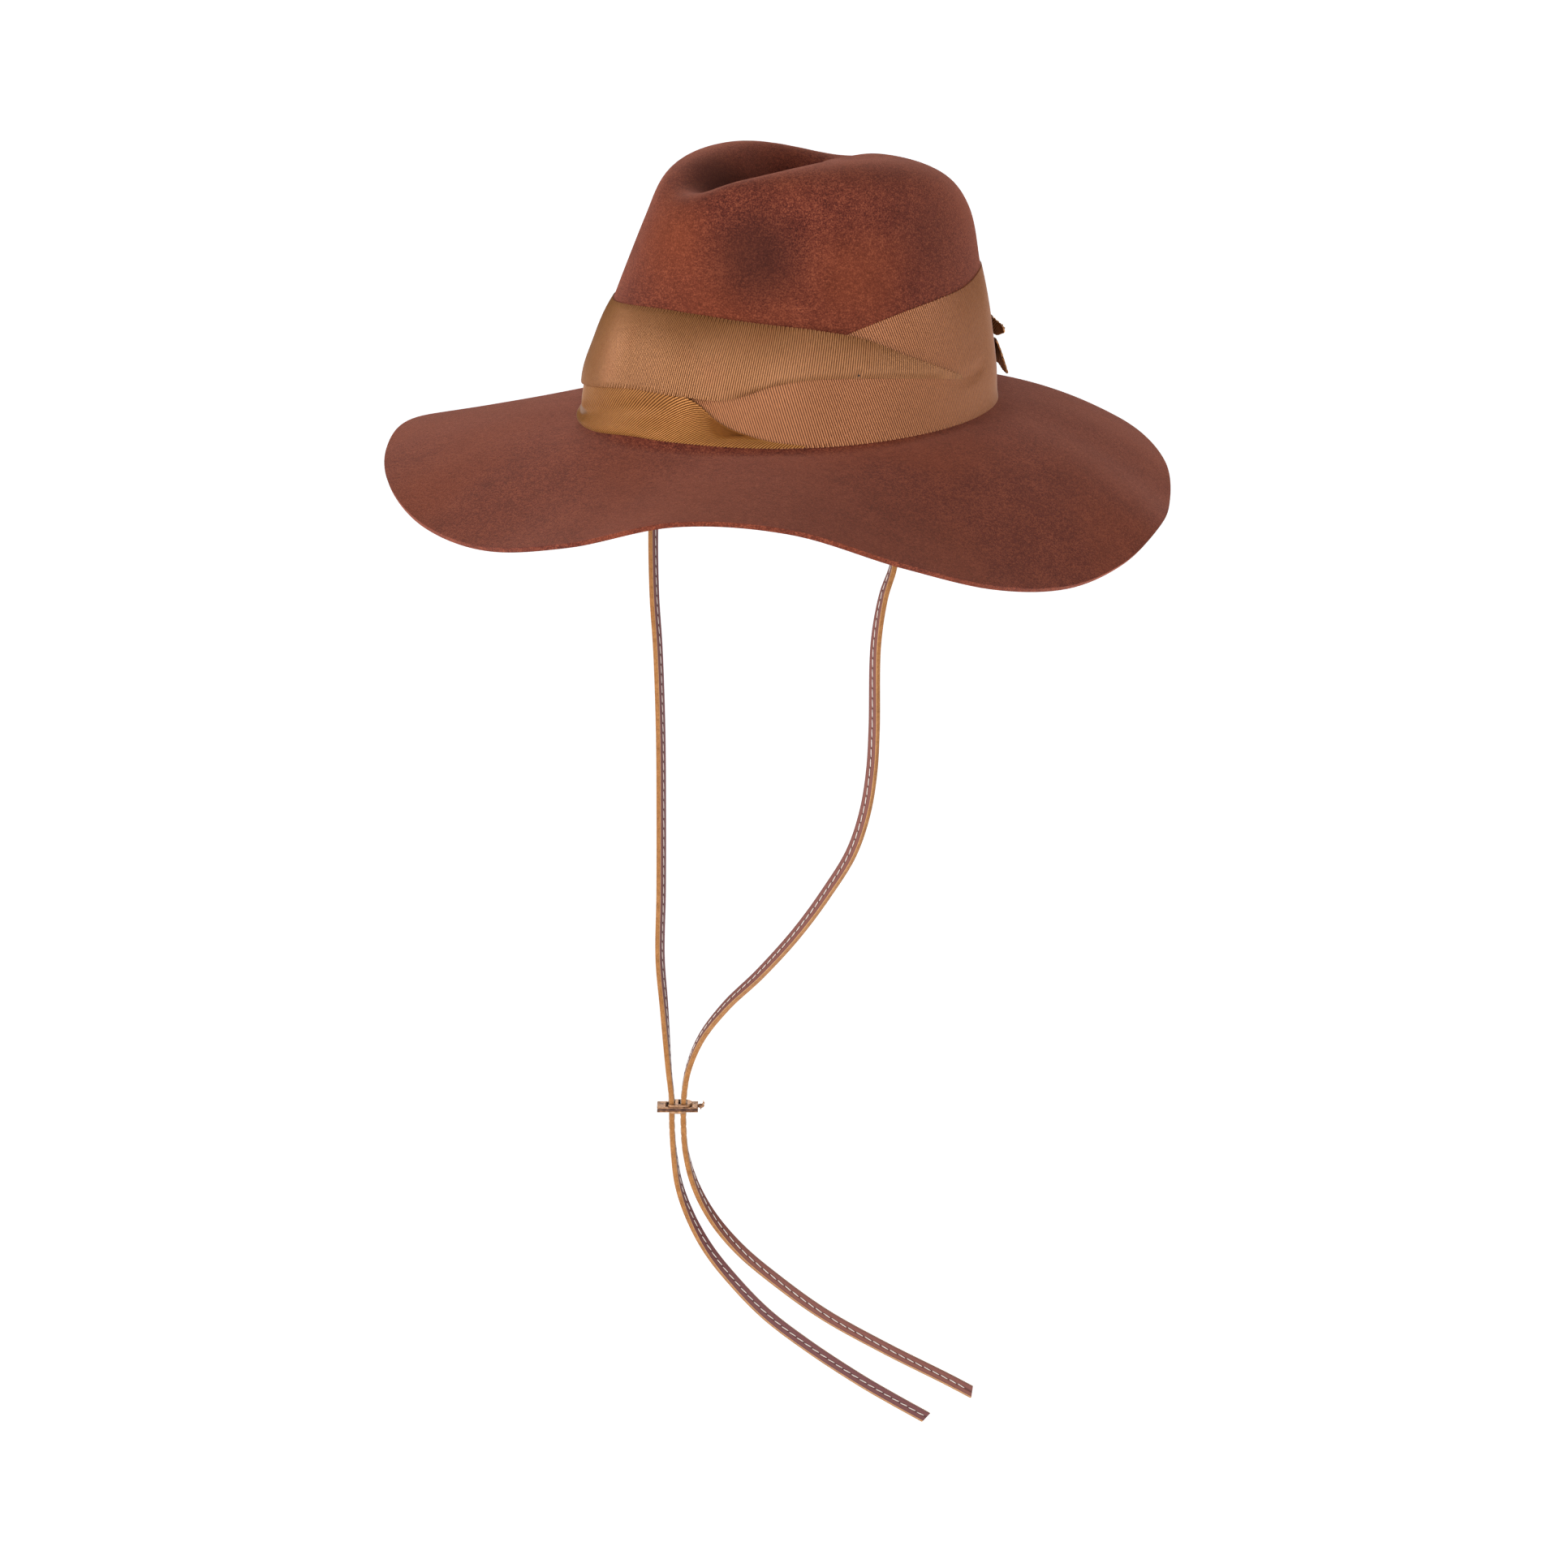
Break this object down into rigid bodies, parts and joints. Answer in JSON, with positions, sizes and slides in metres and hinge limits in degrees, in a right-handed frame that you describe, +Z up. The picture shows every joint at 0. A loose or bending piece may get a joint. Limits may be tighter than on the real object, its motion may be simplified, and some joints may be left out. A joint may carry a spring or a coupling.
{
  "type": "wide-brim felt hat with chin strap",
  "caption": "Felt hat with a creased crown, a waved wide brim, a folded ribbed ribbon band and a flat leather chin strap drawn through a brass slide.",
  "frame": {"origin": "centre of the head opening, at the level where the crown meets the brim", "axes": "+Z up through the crown, -Y the way the wearer faces, +X the wearer's left"},
  "size_m": [0.3456, 0.3769, 0.6324],
  "materials": {
    "felt": "soft matt wool felt, rust brown",
    "ribbon": "ribbed ribbon with a low sheen, tan",
    "leather": "smooth dark brown faces with raw tan edges and pale stitches",
    "brass": "aged brass"
  },
  "bodies": {
    "root": {"felt_body": "felt", "ribbon_lower": "ribbon", "ribbon_wide": "ribbon", "ribbon_upper": "ribbon", "bow_knot": "ribbon", "bow_tail_upper": "ribbon", "bow_tail_lower": "ribbon", "strap_back": "leather", "strap_left": "leather", "strap_right": "leather", "strap_slide": "brass"}
  },
  "joints": []
}
